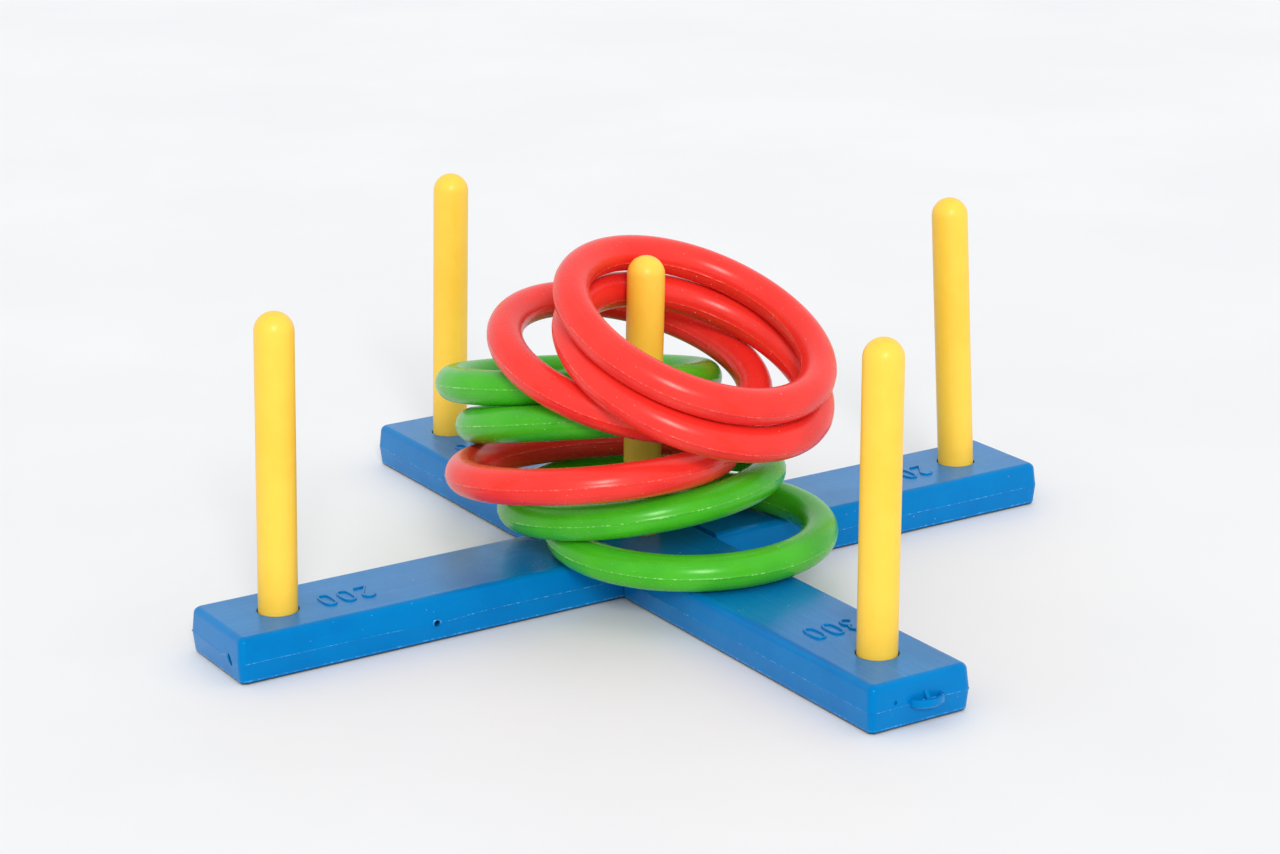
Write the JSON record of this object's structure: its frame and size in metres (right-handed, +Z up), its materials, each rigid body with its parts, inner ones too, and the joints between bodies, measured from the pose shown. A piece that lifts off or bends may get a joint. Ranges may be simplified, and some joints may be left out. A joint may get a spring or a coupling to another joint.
{
  "type": "ring toss set",
  "caption": "Garden ring toss game: two blue crossbars lapped into a cross, round yellow pegs standing in them, and red and green rings piled on the centre peg.",
  "frame": {"origin": "on the floor, on the axis of the centre peg, where the two crossbars cross", "axes": "+Z up; the lower crossbar runs along X and the upper one along Y, with its hanging eye at +Y; the thrower stands on the -Y side"},
  "size_m": [0.547, 0.5546, 0.2009],
  "materials": {
    "blue_plastic": "blow-moulded polyethylene, satin, faint streaks along the bar",
    "yellow_plastic": "satin moulded polyethylene",
    "red_plastic": "soft gloss, parting line round the equator, light scuffs",
    "green_plastic": "soft gloss, parting line round the equator, light scuffs"
  },
  "bodies": {
    "crossbar_lower": {"crossbar_lower": "blue_plastic"},
    "crossbar_upper": {"crossbar_upper": "blue_plastic"},
    "peg_centre": {"peg_centre": "yellow_plastic"},
    "peg_right": {"peg_right": "yellow_plastic"},
    "peg_left": {"peg_left": "yellow_plastic"},
    "peg_far": {"peg_far": "yellow_plastic"},
    "peg_near": {"peg_near": "yellow_plastic"},
    "ring_1_green": {"ring_1_green": "green_plastic"},
    "ring_2_green": {"ring_2_green": "green_plastic"},
    "ring_3_red": {"ring_3_red": "red_plastic"},
    "ring_4_green": {"ring_4_green": "green_plastic"},
    "ring_5_green": {"ring_5_green": "green_plastic"},
    "ring_6_red": {"ring_6_red": "red_plastic"},
    "ring_7_red": {"ring_7_red": "red_plastic"},
    "ring_8_red": {"ring_8_red": "red_plastic"}
  },
  "joints": [
    {"name": "crossbar_upper_lift", "type": "slide", "parent": "crossbar_lower", "child": "crossbar_upper", "axis": [0, 0, 1], "range_m": [0, 0.19]},
    {"name": "peg_centre_pull", "type": "slide", "parent": "crossbar_upper", "child": "peg_centre", "axis": [-0.0413, -0.0095, 0.9991], "range_m": [0, 0.035]},
    {"name": "peg_right_pull", "type": "slide", "parent": "crossbar_lower", "child": "peg_right", "axis": [-0.0281, 0.0176, 0.9995], "range_m": [0, 0.035]},
    {"name": "peg_left_pull", "type": "slide", "parent": "crossbar_lower", "child": "peg_left", "axis": [0.0361, -0.0226, 0.9991], "range_m": [0, 0.035]},
    {"name": "peg_far_pull", "type": "slide", "parent": "crossbar_upper", "child": "peg_far", "axis": [-0.0071, 0.0044, 1], "range_m": [0, 0.035]},
    {"name": "peg_near_pull", "type": "slide", "parent": "crossbar_upper", "child": "peg_near", "axis": [-0.0284, 0.0178, 0.9994], "range_m": [0, 0.035]},
    {"name": "ring_1_green_lift", "type": "slide", "parent": "crossbar_upper", "child": "ring_1_green", "axis": [0, 0, 1], "range_m": [0, 0.175]},
    {"name": "ring_2_green_lift", "type": "slide", "parent": "ring_1_green", "child": "ring_2_green", "axis": [0, 0, 1], "range_m": [0, 0.167]},
    {"name": "ring_3_red_lift", "type": "slide", "parent": "ring_2_green", "child": "ring_3_red", "axis": [0, 0, 1], "range_m": [0, 0.145]},
    {"name": "ring_4_green_lift", "type": "slide", "parent": "ring_3_red", "child": "ring_4_green", "axis": [0, 0, 1], "range_m": [0, 0.141]},
    {"name": "ring_5_green_lift", "type": "slide", "parent": "ring_4_green", "child": "ring_5_green", "axis": [0, 0, 1], "range_m": [0, 0.12]},
    {"name": "ring_6_red_lift", "type": "slide", "parent": "ring_5_green", "child": "ring_6_red", "axis": [0, 0, 1], "range_m": [0, 0.104]},
    {"name": "ring_7_red_lift", "type": "slide", "parent": "ring_6_red", "child": "ring_7_red", "axis": [0, 0, 1], "range_m": [0, 0.107]},
    {"name": "ring_8_red_lift", "type": "slide", "parent": "ring_7_red", "child": "ring_8_red", "axis": [0, 0, 1], "range_m": [0, 0.084]}
  ]
}
